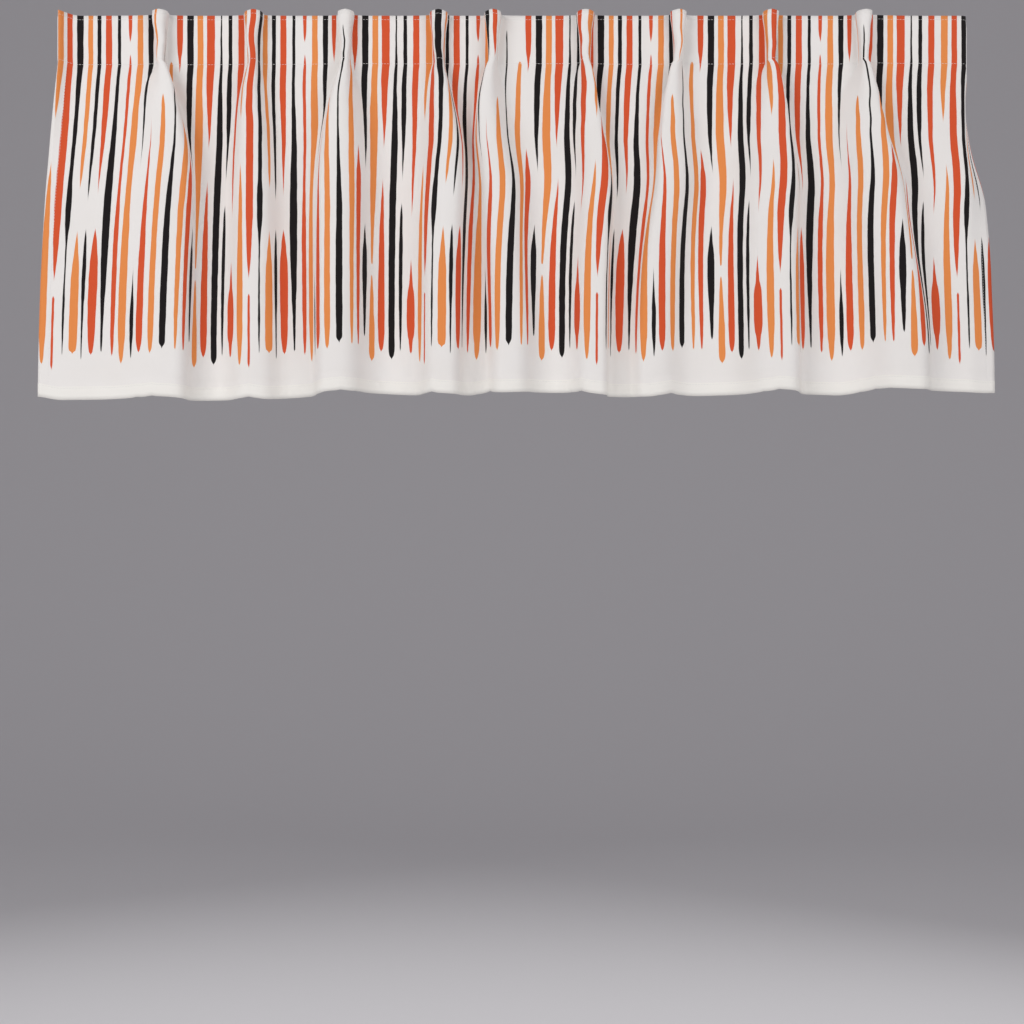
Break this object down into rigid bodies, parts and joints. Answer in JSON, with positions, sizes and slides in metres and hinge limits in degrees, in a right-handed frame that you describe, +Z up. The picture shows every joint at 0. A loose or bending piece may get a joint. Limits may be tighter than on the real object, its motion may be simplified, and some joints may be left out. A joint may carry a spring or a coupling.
{
  "type": "window valance on a curtain rod",
  "caption": "Pinch-pleated cotton valance with printed vertical stripes, hooked to metal rings on a telescopic rod in two open wall brackets.",
  "frame": {"origin": "on the wall, level with the rod's axis, midway along the valance's header", "axes": "+X along the rod, to the right as seen from the room; +Y into the wall; +Z up"},
  "size_m": [1.234, 0.1277, 0.509],
  "materials": {
    "printed_cotton": "matt cotton canvas, off-white, printed with orange, vermilion and black vertical strokes",
    "woven_tape": "matt white woven header tape",
    "satin_steel": "satin nickel-plated steel",
    "bright_zinc": "bright zinc-plated steel"
  },
  "bodies": {
    "brackets": {"left_bracket": "satin_steel", "right_bracket": "satin_steel", "left_upper_wall_screw": "bright_zinc", "left_lower_wall_screw": "bright_zinc", "right_upper_wall_screw": "bright_zinc", "right_lower_wall_screw": "bright_zinc"},
    "left_thumb_screw": {"left_thumb_screw": "bright_zinc"},
    "right_thumb_screw": {"right_thumb_screw": "bright_zinc"},
    "rod": {"outer_tube": "satin_steel", "left_end_cap": "satin_steel"},
    "rod_extension": {"inner_tube": "satin_steel", "right_end_cap": "satin_steel"},
    "curtain": {"valance": "printed_cotton", "header_tape": "woven_tape", "ring_01": "satin_steel", "hook_01": "bright_zinc"},
    "carrier_02": {"ring_02": "satin_steel", "hook_02": "bright_zinc"},
    "carrier_03": {"ring_03": "satin_steel", "hook_03": "bright_zinc"},
    "carrier_04": {"ring_04": "satin_steel", "hook_04": "bright_zinc"},
    "carrier_05": {"ring_05": "satin_steel", "hook_05": "bright_zinc"},
    "carrier_06": {"ring_06": "satin_steel", "hook_06": "bright_zinc"},
    "carrier_07": {"ring_07": "satin_steel", "hook_07": "bright_zinc"},
    "carrier_08": {"ring_08": "satin_steel", "hook_08": "bright_zinc"},
    "carrier_09": {"ring_09": "satin_steel", "hook_09": "bright_zinc"},
    "carrier_10": {"ring_10": "satin_steel", "hook_10": "bright_zinc"},
    "carrier_11": {"ring_11": "satin_steel", "hook_11": "bright_zinc"}
  },
  "joints": [
    {"name": "left_thumb_turn", "type": "hinge", "parent": "brackets", "child": "left_thumb_screw", "pos_m": [-0.57, -0.07, -0.02], "axis": [0, 0, -1], "range_deg": [0, 900]},
    {"name": "right_thumb_turn", "type": "hinge", "parent": "brackets", "child": "right_thumb_screw", "pos_m": [0.57, -0.07, -0.02], "axis": [0, 0, -1], "range_deg": [0, 900]},
    {"name": "rod_lift", "type": "slide", "parent": "brackets", "child": "rod", "axis": [0, 0, 1], "range_m": [0, 0.04]},
    {"name": "rod_extend", "type": "slide", "parent": "rod", "child": "rod_extension", "axis": [1, 0, 0], "range_m": [0, 0.5]},
    {"name": "curtain_swing", "type": "hinge", "parent": "rod", "child": "curtain", "pos_m": [0, -0.07, 0], "axis": [1, 0, 0], "range_deg": [-30, 4]},
    {"name": "draw", "type": "slide", "parent": "curtain", "child": "carrier_11", "axis": [1, 0, 0], "range_m": [-0.7756, 0], "deforming": ["valance", "header_tape"]},
    {"name": "slide_02", "type": "slide", "parent": "curtain", "child": "carrier_02", "axis": [1, 0, 0], "range_m": [-0.073, 0]},
    {"name": "slide_03", "type": "slide", "parent": "curtain", "child": "carrier_03", "axis": [1, 0, 0], "range_m": [-0.1566, 0]},
    {"name": "slide_04", "type": "slide", "parent": "curtain", "child": "carrier_04", "axis": [1, 0, 0], "range_m": [-0.2403, 0]},
    {"name": "slide_05", "type": "slide", "parent": "curtain", "child": "carrier_05", "axis": [1, 0, 0], "range_m": [-0.3239, 0]},
    {"name": "slide_06", "type": "slide", "parent": "curtain", "child": "carrier_06", "axis": [1, 0, 0], "range_m": [-0.3729, 0]},
    {"name": "slide_07", "type": "slide", "parent": "curtain", "child": "carrier_07", "axis": [1, 0, 0], "range_m": [-0.4565, 0]},
    {"name": "slide_08", "type": "slide", "parent": "curtain", "child": "carrier_08", "axis": [1, 0, 0], "range_m": [-0.5402, 0]},
    {"name": "slide_09", "type": "slide", "parent": "curtain", "child": "carrier_09", "axis": [1, 0, 0], "range_m": [-0.6238, 0]},
    {"name": "slide_10", "type": "slide", "parent": "curtain", "child": "carrier_10", "axis": [1, 0, 0], "range_m": [-0.7075, 0]}
  ],
  "couplings": [
    {"joint": "slide_02", "follows": "draw", "ratio": 0.093412},
    {"joint": "slide_03", "follows": "draw", "ratio": 0.20126},
    {"joint": "slide_04", "follows": "draw", "ratio": 0.30912},
    {"joint": "slide_05", "follows": "draw", "ratio": 0.41697},
    {"joint": "slide_06", "follows": "draw", "ratio": 0.48014},
    {"joint": "slide_07", "follows": "draw", "ratio": 0.588},
    {"joint": "slide_08", "follows": "draw", "ratio": 0.69585},
    {"joint": "slide_09", "follows": "draw", "ratio": 0.8037},
    {"joint": "slide_10", "follows": "draw", "ratio": 0.91155}
  ]
}
